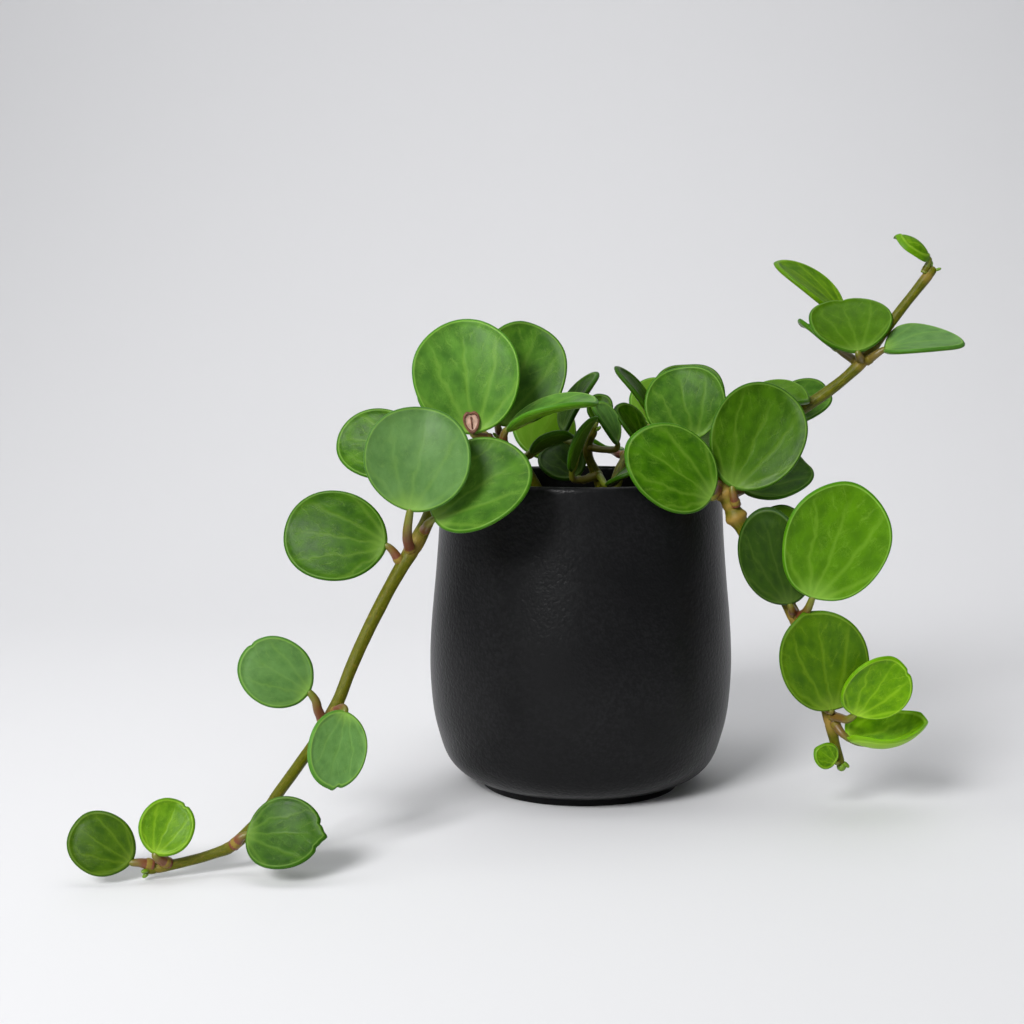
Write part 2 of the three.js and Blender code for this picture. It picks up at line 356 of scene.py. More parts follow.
class Wiring:
    """Adds shader nodes to one tree and joins them."""

    def __init__(self, tree: bpy.types.NodeTree) -> None:
        """Starts with the tree that the nodes go into."""
        self.tree = tree

    def add(self, kind: str, **settings: object) -> bpy.types.Node:
        """A new node of that kind with the given settings."""
        node = self.tree.nodes.new(kind)
        for key, value in settings.items():
            setattr(node, key, value)
        return node

    def put(self, socket: Socket, value: object) -> None:
        """Links a socket into another, or sets a plain value on it."""
        if isinstance(value, Socket):
            self.tree.links.new(value, socket)
        else:
            socket.default_value = value

    def math(self, operation: str, first: Value, second: Value = 0.0, third: Value = 0.0) -> Socket:
        """The result of a math node."""
        node = self.add("ShaderNodeMath", operation=operation)
        for socket, value in zip(node.inputs, (first, second, third)):
            self.put(socket, value)
        return node.outputs[0]

    def times(self, first: Value, second: Value) -> Socket:
        """The product of two values."""
        return self.math("MULTIPLY", first, second)

    def plus(self, first: Value, second: Value) -> Socket:
        """The sum of two values."""
        return self.math("ADD", first, second)

    def most(self, first: Value, second: Value) -> Socket:
        """The greater of two values."""
        return self.math("MAXIMUM", first, second)

    def line(self, value: Value, slope: Value, start: Value) -> Socket:
        """A value times a slope, plus a start."""
        return self.math("MULTIPLY_ADD", value, slope, start)

    def band(self, value: Value, low: float, high: float) -> Socket:
        """0 below low, 1 above high and a smooth step between; low may be the greater."""
        node = self.add("ShaderNodeMapRange", interpolation_type="SMOOTHSTEP")
        for name, setting in (("Value", value), ("From Min", low), ("From Max", high)):
            self.put(node.inputs[name], setting)
        return node.outputs["Result"]

    def mix(self, share: Value, first: object, second: object, blend: str = "MIX") -> Socket:
        """A colour between two others."""
        node = self.add("ShaderNodeMix", data_type="RGBA", blend_type=blend)
        self.put(node.inputs["Factor"], share)
        self.put(node.inputs["A"], first)
        self.put(node.inputs["B"], second)
        return node.outputs["Result"]

    def vector(self, x: Value, y: Value, z: Value) -> Socket:
        """A vector from three values."""
        node = self.add("ShaderNodeCombineXYZ")
        for socket, value in zip(node.inputs, (x, y, z)):
            self.put(socket, value)
        return node.outputs[0]

    def split(self, vector: Socket) -> tuple:
        """The three values of a vector."""
        node = self.add("ShaderNodeSeparateXYZ")
        self.put(node.inputs[0], vector)
        return tuple(node.outputs)

    def attribute(self, name: str) -> Socket:
        """A vertex value as a vector."""
        return self.add("ShaderNodeAttribute", attribute_name=name).outputs["Vector"]

    def place(self) -> Socket:
        """The point's position on the object, in metres."""
        return self.add("ShaderNodeTexCoord").outputs["Object"]

    def noise(self, where: Socket, scale: float, detail: float = 2.0) -> Socket:
        """Smooth noise from 0 to 1."""
        node = self.add("ShaderNodeTexNoise")
        self.put(node.inputs["Vector"], where)
        self.put(node.inputs["Scale"], scale)
        self.put(node.inputs["Detail"], detail)
        return node.outputs["Fac"]

    def cells(self, where: Socket, scale: float, feature: str) -> Socket:
        """Distance from the nearest cell's middle or edge."""
        node = self.add("ShaderNodeTexVoronoi", feature=feature)
        self.put(node.inputs["Vector"], where)
        self.put(node.inputs["Scale"], scale)
        return node.outputs["Distance"]

    def group(self, tree: bpy.types.NodeTree, **inputs: object) -> bpy.types.Node:
        """A shared effect, with its inputs set by name (underscores stand for spaces)."""
        node = self.add("ShaderNodeGroup", node_tree=tree)
        for key, value in inputs.items():
            self.put(node.inputs[key.replace("_", " ")], value)
        return node

    def bump(self, height: Value, strength: float, distance: float) -> Socket:
        """A normal bent by a height."""
        node = self.add("ShaderNodeBump")
        self.put(node.inputs["Strength"], strength)
        self.put(node.inputs["Distance"], distance)
        self.put(node.inputs["Height"], height)
        return node.outputs["Normal"]


@dataclass(frozen=True)
class Effect:
    """A shader effect that more than one material uses, kept as a node group."""

    name: str
    inputs: tuple[tuple[str, str], ...]
    outputs: tuple[str, ...]
    recipe: Callable[[Wiring, dict], dict]

    def tree(self) -> bpy.types.NodeTree:
        """The node group, made the first time it is asked for."""
        known = bpy.data.node_groups.get(self.name)
        if known:
            return known
        tree = bpy.data.node_groups.new(self.name, "ShaderNodeTree")
        for label, kind in self.inputs:
            tree.interface.new_socket(label, in_out="INPUT", socket_type=kind)
        for label in self.outputs:
            tree.interface.new_socket(label, in_out="OUTPUT", socket_type="NodeSocketFloat")
        wiring = Wiring(tree)
        entry = wiring.add("NodeGroupInput")
        leaving = wiring.add("NodeGroupOutput")
        given = {label: entry.outputs[label] for label, _ in self.inputs}
        for label, socket in self.recipe(wiring, given).items():
            wiring.put(leaving.inputs[label], socket)
        return tree


def leaf_pattern(w: Wiring, given: dict) -> dict:
    """Veins that fan out from the stalk, side veins, a fine network and mottling.

    Args:
        w: the wiring of the group.
        given: "Place" (share of the length, share of the half width, how far round the rounded
            margin) and "Seed".

    Returns:
        Masks by name.
    """
    along, across, edge = w.split(given["Place"])
    seed = given["Seed"]
    where = w.vector(w.times(along, 2.2), w.times(across, 1.3), seed)
    drift = w.math("SUBTRACT", w.noise(where, 2.2, 3.0), 0.5)
    fine_drift = w.math("SUBTRACT", w.noise(where, 9.0, 2.0), 0.5)
    sideways = w.times(across, 0.45)
    ahead = w.plus(along, 0.05)
    reach = w.math("SQRT", w.plus(w.math("POWER", ahead, 2.0), w.times(sideways, sideways)))
    turn = w.math("ABSOLUTE", w.math("ARCTAN2", w.line(drift, 0.05, sideways), ahead))
    fan = w.line(w.times(reach, reach), 0.1, turn)
    fan = w.line(drift, 0.2, fan)
    off_fan = w.times(w.math("PINGPONG", w.most(fan, 0.2), 0.2), reach)
    wander = w.line(drift, 0.1, w.line(fine_drift, 0.02, sideways))
    off_middle = w.math("ABSOLUTE", wander)
    ends = w.times(w.band(along, 1.0, 0.6), w.band(turn, 1.35, 1.0))
    main = w.times(w.most(w.band(off_fan, 0.03, 0.002), w.band(off_middle, 0.026, 0.002)), ends)
    halo = w.times(w.most(w.band(off_fan, 0.085, 0.0), w.band(off_middle, 0.085, 0.0)), ends)
    rise = w.times(w.math("ABSOLUTE", across), 0.62)
    run = w.plus(w.math("SUBTRACT", along, rise), w.times(w.math("SIGN", across), 0.04))
    run = w.plus(run, w.line(drift, 0.24, w.times(fine_drift, 0.05)))
    step = w.math("PINGPONG", run, 0.085)
    patches = w.band(w.noise(where, 4.0, 4.0), 0.38, 0.68)
    branches = w.times(w.band(step, 0.024, 0.0), w.times(patches, w.band(along, 0.2, 0.45)))
    veins = w.most(main, w.times(branches, 0.75))
    bent = w.vector(
        w.line(drift, 0.5, w.times(along, 2.0)),
        w.line(fine_drift, 0.25, across),
        seed,
    )
    network = w.band(w.cells(bent, 11.0, "DISTANCE_TO_EDGE"), 0.1, 0.0)
    fine = w.band(w.cells(bent, 26.0, "DISTANCE_TO_EDGE"), 0.14, 0.0)
    network = w.times(w.most(network, w.times(fine, 0.7)), patches)
    return {
        "Veins": veins,
        "Halo": halo,
        "Network": network,
        "Mottle": w.noise(where, 3.0, 5.0),
        "Fleck": w.noise(where, 30.0, 3.0),
        # The thin line where the face turns into the rounded edge: it carries the pale margin and a
        # painted highlight.
        "Margin": w.times(w.band(edge, -0.35, 0.0), w.band(edge, 0.5, 0.2)),
        "Rim": w.band(edge, -0.2, 0.4),
        "Base": w.band(reach, 0.3, 0.06),
    }


def grain(w: Wiring, given: dict) -> dict:
    """A leathery grain: small rounded cells over softer noise.

    Args:
        w: the wiring of the group.
        given: "Place" in metres and "Size", the width of one grain in metres.

    Returns:
        The height, from 0 to 1.
    """
    scaled = w.add("ShaderNodeVectorMath", operation="SCALE")
    w.put(scaled.inputs[0], given["Place"])
    w.put(scaled.inputs["Scale"], w.math("DIVIDE", 1.0, given["Size"]))
    where = scaled.outputs[0]
    cells = w.cells(where, 0.8, "SMOOTH_F1")
    soft = w.noise(where, 0.45, 3.0)
    return {"Height": w.line(cells, -0.55, soft)}


LEAF_PATTERN = Effect(
    "leaf pattern",
    (("Place", "NodeSocketVector"), ("Seed", "NodeSocketFloat")),
    ("Veins", "Halo", "Network", "Mottle", "Fleck", "Margin", "Rim", "Base"),
    leaf_pattern,
)
GRAIN = Effect(
    "leathery grain", (("Place", "NodeSocketVector"), ("Size", "NodeSocketFloat")), ("Height",), grain
)


@dataclass(frozen=True)
class Finish:
    """What every finish has: a name and plain surface values."""

    name: str
    roughness: float = 0.5

    def start(self) -> tuple[Skin, Wiring, bpy.types.Node]:
        """A new material with only its surface shader and output."""
        material = bpy.data.materials.new(self.name)
        material.use_nodes = True
        wiring = Wiring(material.node_tree)
        surface = material.node_tree.nodes["Principled BSDF"]
        surface.inputs["Roughness"].default_value = self.roughness
        return material, wiring, surface


@dataclass(frozen=True)
class BladeFinish(Finish):
    """The satin skin of a leaf blade, with its veins, margin and paler underside; it also holds a painted
    grey sheen, a margin line that is partly a painted highlight, and per-leaf painted light and shade.
    """

    deep: Colour = srgb(32, 72, 0)
    fresh: Colour = srgb(64, 108, 2)
    vein: Colour = srgb(98, 134, 38)
    # Pale margin colour: it lightens the base, and on the thin margin line it is partly the leaf's pale
    # margin and partly a painted highlight.
    margin: Colour = srgb(128, 166, 70)
    rim: Colour = srgb(52, 104, 2)
    under: Colour = srgb(78, 118, 14)
    # Grey-blue painted sheen colour, mixed into the upper faces.
    painted_sheen: Colour = srgb(98, 134, 82)
    warm: Colour = srgb(84, 122, 0)

    def build(self) -> Skin:
        """Makes the material."""
        material, w, surface = self.start()
        place = w.attribute("place")
        under, tone, painted_sheen = w.split(w.attribute("trait"))
        shade, warmth, _ = w.split(w.attribute("mood"))
        pattern = w.group(LEAF_PATTERN.tree(), Place=place, Seed=w.times(tone, 37.0)).outputs
        ground = w.mix(w.band(pattern["Mottle"], 0.28, 0.75), self.deep, self.fresh)
        layers = (
            ("Halo", 0.5, self.fresh),
            ("Fleck", 0.3, self.fresh),
            ("Network", 0.3, self.vein),
            ("Veins", 0.42, self.vein),
        )
        for mask, share, tint in layers:
            ground = w.mix(w.times(pattern[mask], share), ground, tint)
        # Painted sheen: the grey-blue colour is mixed in by each leaf's sheen share, broken up by the
        # mottling.
        painted_sheen_share = w.times(painted_sheen, w.line(pattern["Mottle"], 0.9, 0.4))
        ground = w.mix(painted_sheen_share, ground, self.painted_sheen)
        ground = w.mix(w.times(pattern["Base"], 0.55), ground, self.margin)
        ground = w.mix(warmth, ground, self.warm)
        back = w.mix(w.times(pattern["Halo"], 0.3), self.under, self.vein)
        colour = w.mix(under, ground, back)
        # A rim band of deeper green, then the thin margin line, which is partly the leaf's pale margin and
        # partly a painted highlight.
        for mask, share, tint in (("Rim", 0.6, self.rim), ("Margin", 0.36, self.margin)):
            colour = w.mix(w.times(pattern[mask], share), colour, tint)
        # Per-leaf lightness: partly the leaf's own tone, partly painted light and painted shade.
        colour = w.mix(1.0, colour, w.vector(shade, shade, shade), "MULTIPLY")
        w.put(surface.inputs["Base Color"], colour)
        spread = w.line(pattern["Mottle"], 0.16, self.roughness - 0.08)
        w.put(surface.inputs["Roughness"], spread)
        height = w.line(pattern["Veins"], -0.6, w.times(pattern["Network"], -0.3))
        for mask, share in (("Mottle", 0.6), ("Fleck", 0.35)):
            height = w.line(pattern[mask], share, height)
        w.put(surface.inputs["Normal"], w.bump(height, 0.25, 0.0003))
        surface.inputs["IOR"].default_value = 1.22
        surface.inputs["Subsurface Weight"].default_value = 0.06
        surface.inputs["Subsurface Radius"].default_value = (0.6, 1.0, 0.2)
        surface.inputs["Subsurface Scale"].default_value = MM
        return material


@dataclass(frozen=True)
class StalkFinish(Finish):
    """A leaf stalk that turns from red-brown at the stem to green at the blade."""

    root: Colour = srgb(110, 58, 34)
    end: Colour = srgb(100, 112, 22)

    def build(self) -> Skin:
        """Makes the material."""
        material, w, surface = self.start()
        along, _, _ = w.split(w.attribute("place"))
        _, _, green = w.split(w.attribute("trait"))
        blotch = w.noise(w.place(), 700.0, 3.0)
        share = w.plus(w.band(along, 0.15, 1.0), w.times(w.math("SUBTRACT", blotch, 0.5), 0.5))
        share = w.most(share, green)
        clear = w.band(share, 0.0, 1.0)
        w.put(surface.inputs["Base Color"], w.mix(clear, self.root, self.end))
        w.put(surface.inputs["Normal"], w.bump(blotch, 0.3, 0.0002))
        return material


@dataclass(frozen=True)
class StemFinish(Finish):
    """An olive green stem with fine streaks along it and tan swollen nodes."""

    green: Colour = srgb(100, 102, 4)
    shade: Colour = srgb(66, 70, 0)
    tan: Colour = srgb(142, 116, 52)

    def build(self) -> Skin:
        """Makes the material."""
        material, w, surface = self.start()
        along, turn, knot = w.split(w.attribute("place"))
        streaks = w.noise(w.vector(w.times(along, 6.0), w.times(turn, 9.0), 0.0), 3.0, 4.0)
        spots = w.noise(w.place(), 900.0, 2.0)
        ground = w.mix(w.band(streaks, 0.35, 0.65), self.shade, self.green)
        ground = w.mix(w.times(w.band(spots, 0.5, 0.8), 0.35), ground, self.tan)
        w.put(surface.inputs["Base Color"], w.mix(knot, ground, self.tan))
        height = w.plus(w.times(streaks, 0.8), w.times(spots, 0.5))
        w.put(surface.inputs["Normal"], w.bump(height, 0.4, 0.0003))
        surface.inputs["IOR"].default_value = 1.28
        return material


@dataclass(frozen=True)
class PotFinish(Finish):
    """Matte black ceramic with a fine leathery grain."""

    colour: Colour = (0.0042, 0.0043, 0.0047, 1.0)
    worn: Colour = (0.009, 0.0092, 0.0098, 1.0)
    grain_size: float = 0.0007

    def build(self) -> Skin:
        """Makes the material."""
        material, w, surface = self.start()
        place = w.place()
        height = w.group(GRAIN.tree(), Place=place, Size=self.grain_size).outputs["Height"]
        cloud = w.noise(place, 45.0, 3.0)
        share = w.times(w.band(height, 0.1, 0.5), w.band(cloud, 0.2, 0.8))
        w.put(surface.inputs["Base Color"], w.mix(share, self.colour, self.worn))
        w.put(surface.inputs["Roughness"], w.line(cloud, 0.08, self.roughness - 0.04))
        w.put(surface.inputs["Normal"], w.bump(height, 0.6, 0.00022))
        surface.inputs["IOR"].default_value = 1.25
        return material


@dataclass(frozen=True)
class SoilFinish(Finish):
    """Dark moist potting mix."""

    dark: Colour = srgb(34, 26, 20)
    light: Colour = srgb(78, 58, 42)

    def build(self) -> Skin:
        """Makes the material."""
        material, w, surface = self.start()
        place = w.place()
        height = w.group(GRAIN.tree(), Place=place, Size=0.0022).outputs["Height"]
        patches = w.noise(place, 260.0, 5.0)
        w.put(surface.inputs["Base Color"], w.mix(w.band(patches, 0.4, 0.75), self.dark, self.light))
        w.put(surface.inputs["Normal"], w.bump(w.plus(height, patches), 0.8, 0.0008))
        return material


@dataclass(frozen=True)
class PlainFinish(Finish):
    """One even colour with a faint unevenness."""

    colour: Colour = srgb(200, 200, 202)
    uneven: float = 0.0

    def build(self) -> Skin:
        """Makes the material."""
        material, w, surface = self.start()
        if self.uneven:
            spots = w.noise(w.place(), 800.0, 4.0)
            darker = tuple(level * (1 - self.uneven) for level in self.colour[:3]) + (1.0,)
            w.put(surface.inputs["Base Color"], w.mix(w.band(spots, 0.35, 0.65), darker, self.colour))
            w.put(surface.inputs["Normal"], w.bump(spots, 0.5, 0.0003))
        else:
            surface.inputs["Base Color"].default_value = self.colour
        return material


# ---------------------------------------------------------------------------------------------
# The plant
# ---------------------------------------------------------------------------------------------


@dataclass(frozen=True)
class Notch:
    """A dent in a leaf's margin.

    Attributes:
        turn: where it is round the leaf, in degrees from the stalk.
        depth: how deep, as a share of the way from the margin to the middle.
        spread: its half width in degrees.
    """

    turn: float
    depth: float
    spread: float


@dataclass
class Pose:
    """Where a leaf is and how it is bent, measured from its solid."""

    stalk: np.ndarray
    stalk_radius: float
    base: np.ndarray
    tip: np.ndarray
    up: np.ndarray
    width: float
    cup: float
    arch: float

    SHARES = (0.06, 0.2, 0.4, 0.6, 0.8, 0.94)

    @classmethod
    def of(cls, node: Piece, rolled: bool) -> "Pose":
        """Measures a leaf.

        Args:
            node: the leaf's CAD node.
            rolled: whether its sides bend away from its upper face.

        Returns:
            The measured pose.
        """
        rings = Rings.of(node)
        round_ones = [s for s in rings.sections if cls._roundness(s) < 1.3]
        if round_ones and not np.array_equal(round_ones[0], rings.sections[0]):
            rings = Rings(rings.last, rings.sections[::-1], rings.first)
            round_ones = round_ones[::-1]
        blades = rings.sections[len(round_ones) :]
        base = round_ones[-1].mean(axis=0)
        middles, halves, lifts = [], [], []
        for section in blades:
            edge = max(range(4), key=lambda k: np.linalg.norm(section[k] - section[k + 4]))
            middle = 0.5 * (section[(edge + 2) % 8] + section[(edge + 6) % 8])
            middles.append(middle)
            halves.append(0.5 * np.linalg.norm(section[edge] - section[edge + 4]))
            lifts.append(0.5 * (section[edge] + section[edge + 4]) - middle)
        lift = lifts[2] + lifts[3]
        up = unit(lift) * (-1 if rolled else 1)
        along = unit(rings.last - base)
        up = unit(up - along * np.dot(up, along))
        length = float(np.linalg.norm(rings.last - base))
        chord = base + along * 0.4 * length
        return cls(
            stalk=np.array([rings.first] + [s.mean(axis=0) for s in round_ones[1:-1]]),
            stalk_radius=float(np.linalg.norm(round_ones[0][0] - round_ones[0].mean(axis=0))),
            base=base,
            tip=rings.last,
            up=up,
            width=2 * halves[2] / outline(0.4),
            cup=float(np.dot(lifts[2], up)) / halves[2],
            arch=float(np.dot(middles[2] - chord, up)) / (4 * length * 0.4 * 0.6),
        )

    @staticmethod
    def _roundness(section: np.ndarray) -> float:
        """How much farther from its middle a section's farthest point is than its nearest."""
        reach = np.linalg.norm(section - section.mean(axis=0), axis=1)
        return float(reach.max() / max(reach.min(), 1e-9))


def outline(share: np.ndarray | float) -> np.ndarray | float:
    """Half the width of a round leaf at a share of its length, as a share of its widest."""
    across = np.abs(2 * np.asarray(share, dtype=float) ** 1.04 - 1)
    return np.sqrt(np.maximum(0.0, 1 - across**2.1))


@dataclass
class Leaf:
    """One thick round leaf with its stalk.

    Attributes:
        name: the name of its CAD node.
        young: whether it is a bright young leaf.
        painted_sheen: how much painted grey sheen its upper face gets, from 0 to 1.
        green_stalk: how green its stalk is, from 0 to 1.
        notches: dents in its margin.
        rolled: whether it is still rolled up.
        thickness: how thick the blade is.
        stalk_size: how thick the stalk is, as a share of its solid's.
        point: how much narrower the blade gets toward its tip.
        shade: how light its blade is, as a share of the finish's: partly its own tone, partly painted
            light and painted shade.
        warmth: how yellow its upper face is, from 0 to 1.
    """

    name: str
    young: bool = False
    painted_sheen: float = 0.0
    green_stalk: float = 0.0
    notches: tuple[Notch, ...] = ()
    rolled: bool = False
    thickness: float = 1.6 * MM
    stalk_size: float = 1.0
    point: float = 0.0
    shade: float = 1.0
    warmth: float = 0.0

    AROUND = 108
    FLAT_STEPS = (0.14, 0.28, 0.42, 0.55, 0.66, 0.75, 0.83, 0.895)
    FLAT_REACH = 0.93
    EDGE_STEPS = 5
    WAVE = (0.1 * MM, 0.35 * MM)
    NO_EDGE = -9.0
    GROOVE_WIDTH, GROOVE, RIB = 0.13, 0.04, 0.22
    BEAD_WIDTH, BEAD = 0.045, 0.1
    HOLLOW_WIDTH, HOLLOW_INSIDE = 0.06, 0.09
    STALK_FADE = (1.35, 1.2, 0.98, 0.8, 0.6, 0.4, 0.1)
    RIB_LINE = ((0.05, 0.4), (0.15, 0.7), (0.32, 0.75))
    COLLAR = (1.17, 1.224, 1.278, 1.314, 1.314, 1.26, 1.152, 0.945)

    def build(self, node: Piece, skins: Sequence[Skin]) -> Piece:
        """Builds the leaf in its solid's place.

        Args:
            node: the leaf's CAD node.
            skins: the materials of the blade, the stalk and the collar at the stem.

        Returns:
            The finished object.
        """
        chance = random.Random(self.name)
        pose = Pose.of(node, self.rolled)
        tone = chance.random()
        parts = MeshParts()
        self._add_blade(parts, pose, chance, tone)
        self._add_stalk(parts, pose)
        return parts.build(f"{self.name}_look", skins)

    def _margin(self, chance: random.Random) -> np.ndarray:
        """The margin's points as shares of the length and of the half width."""
        turns = turns_round(self.AROUND)
        along = 0.5 - 0.5 * np.cos(turns)
        across = np.sign(np.sin(turns)) * outline(along) * (1 + self.point * (0.42 - along))
        swell = np.ones_like(turns)
        for order in (2, 3, 5):
            swell += chance.uniform(-0.012, 0.012) * np.cos(order * turns + chance.uniform(0, FULL_TURN))
        for notch in self.notches:
            apart = turns - math.radians(notch.turn)
            gap = np.degrees(np.arctan2(np.sin(apart), np.cos(apart)))
            swell -= notch.depth * np.exp(-((gap / notch.spread) ** 2))
        still = np.clip(np.abs(np.sin(turns / 2)) * 4, 0, 1)
        swell = 1 + (swell - 1) * still
        return np.stack([0.5 + (along - 0.5) * swell, across * swell], axis=1)

    def _thickness(self, pose: Pose) -> float:
        """How thick the blade is: a small leaf's is thinner."""
        return min(self.thickness, 0.16 * pose.width)

    def _relief(
        self, face: Side, u: np.ndarray, v: np.ndarray, out: np.ndarray, flat_end: float
    ) -> np.ndarray:
        """How far a face bulges from even thickness, as a share of the thickness.

        Args:
            face: which face.
            u: each point's share of the length.
            v: each point's share of the half width.
            out: how far each point is from the middle to the margin.
            flat_end: where the rounded margin starts, as such a share.

        Returns:
            The bulge at each point.
        """
        groove = np.exp(-((v / self.GROOVE_WIDTH) ** 2)) * np.clip(1.1 - u, 0, 1) * (out <= flat_end)
        if face is Side.LOWER:
            return self.RIB * groove
        bead = np.exp(-(((out - flat_end) / self.BEAD_WIDTH) ** 2))
        hollow = np.exp(-(((out - flat_end + self.HOLLOW_INSIDE) / self.HOLLOW_WIDTH) ** 2))
        return self.BEAD * (bead - hollow) - self.GROOVE * groove

    def _add_blade(self, parts: MeshParts, pose: Pose, chance: random.Random, tone: float) -> None:
        """Adds the blade: an upper and a lower face that meet in a rounded margin."""
        length = float(np.linalg.norm(pose.tip - pose.base))
        along = (pose.tip - pose.base) / length
        side = np.cross(pose.up, along)
        half = 0.5 * pose.width
        thick = self._thickness(pose)
        flat_end = 1 - 0.5 * thick / half
        margin = self._margin(chance)
        angles = np.linspace(0, 0.5 * math.pi, self.EDGE_STEPS + 1)[1:]
        outs = [step * flat_end / self.FLAT_REACH for step in self.FLAT_STEPS] + [flat_end]
        rises = [1.0] * len(outs) + [math.cos(angle) for angle in angles]
        outs += [flat_end + (1 - flat_end) * math.sin(angle) for angle in angles]
        middle = np.array([0.5, 0.0])
        grid = np.vstack([[middle]] + [middle + (margin - middle) * out for out in outs])
        out_of = np.concatenate([[0.0], np.repeat(outs, self.AROUND)])
        rise_of = np.concatenate([[1.0], np.repeat(rises, self.AROUND)])
        u, v = grid[:, 0], grid[:, 1]
        lift = pose.cup * half * v**2 / np.maximum(outline(np.clip(u, 0, 1)), 0.35)
        lift += 4 * pose.arch * length * u * (1 - u)
        turns = np.arctan2(v, u - 0.5)
        for order in (2, 3):
            size, phase = chance.uniform(*self.WAVE), chance.uniform(0, FULL_TURN)
            lift += size * out_of**3 * np.sin(order * turns + phase) * np.clip(u * 4, 0, 1)
        edge = np.maximum((out_of - flat_end) / (1 - flat_end), self.NO_EDGE)
        edge[0] = self.NO_EDGE
        place = np.column_stack([u, v, edge])
        for face in (Side.UPPER, Side.LOWER):
            above = face is Side.UPPER
            relief = self._relief(face, u, v, out_of, flat_end) * rise_of
            skin = (0.5 * rise_of + relief) * thick
            points = (
                pose.base
                + np.outer(u * length, along)
                + np.outer(v * half, side)
                + np.outer(lift + (skin if above else -skin), pose.up)
            )
            quads = grid_faces(len(outs), self.AROUND, closed=True, flip=not above)
            faces = [tuple(1 + i for i in quad) for quad in quads]
            for k in range(self.AROUND):
                fan = (0, 1 + k, 1 + (k + 1) % self.AROUND)
                faces.append(fan if above else fan[::-1])
            # The third value is the leaf's painted sheen share.
            trait = np.tile([face.value, tone, self.painted_sheen], (len(points), 1))
            # The first value is the lightness: partly tone, partly painted light and painted shade.
            mood = np.tile([self.shade, self.warmth, 0.0], (len(points), 1))
            parts.add(points, faces, 0, place=place, trait=trait, mood=mood)

    def _add_stalk(self, parts: MeshParts, pose: Pose) -> None:
        """Adds the stalk and its collar, and a rib that fades out under the blade."""
        length = float(np.linalg.norm(pose.tip - pose.base))
        along = (pose.tip - pose.base) / length
        into = unit(pose.stalk[0] - pose.stalk[1])
        thick = self._thickness(pose)
        under = []
        for share, drop in self.RIB_LINE:
            rise = 4 * pose.arch * length * share * (1 - share) - drop * thick
            under.append(pose.base + along * share * length + pose.up * rise)
        track = np.vstack([pose.stalk[0] + into * 1.8 * MM, pose.stalk, pose.base, under])
        stations = [0, 1] + [len(track) - back for back in (5, 4, 3, 2, 1)]
        fat = self.stalk_size * np.interp(np.arange(len(track)), stations, self.STALK_FADE)
        path = smooth_curve(np.column_stack([track, fat]), 5)
        points, faces = tube(path[:, :3], path[:, 3] * pose.stalk_radius, 12)
        shares = np.concatenate([np.repeat(np.linspace(0, 1.35, len(path)), 12), [0.0, 1.35]])
        place = np.column_stack([shares, np.zeros_like(shares), np.zeros_like(shares)])
        trait = np.tile([0.0, 0.5, self.green_stalk], (len(points), 1))
        parts.add(points, faces, 1, place=place, trait=trait)
        steps = np.linspace(1.9 * MM, -0.9 * MM, 8)
        collar = pose.stalk[0] + np.outer(steps, into)
        swell = np.array(self.COLLAR) * self.stalk_size * pose.stalk_radius
        points, faces = tube(collar, swell, 14)
        knot = np.tile([0.4, 0.5, 0.7 * (1 - self.green_stalk)], (len(points), 1))
        parts.add(points, faces, 2, place=knot)


